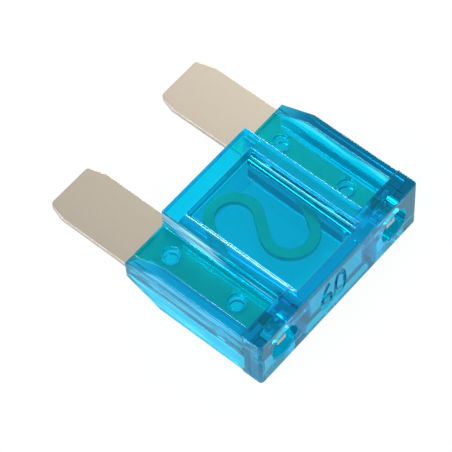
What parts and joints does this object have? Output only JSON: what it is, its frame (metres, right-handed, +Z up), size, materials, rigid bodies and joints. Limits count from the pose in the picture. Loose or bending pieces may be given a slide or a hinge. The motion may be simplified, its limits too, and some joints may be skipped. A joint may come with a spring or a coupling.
{
  "type": "automotive blade fuse",
  "caption": "Clear blue moulded fuse housing with an open link chamber, holding a flat metal stamping with parallel blades and an S-shaped fusible link.",
  "frame": {"origin": "centre of the bounding box on the surface that the fuse lies on", "axes": "+Z up through the thickness, +Y from the head towards the blade tips, +X across the blades"},
  "size_m": [0.0292, 0.034, 0.0089],
  "materials": {
    "clear_blue_plastic": "glossy clear tinted polycarbonate",
    "plated_zinc": "satin rolled sheet, warm grey"
  },
  "bodies": {
    "root": {"housing": "clear_blue_plastic", "fuse_element": "plated_zinc"}
  },
  "joints": []
}
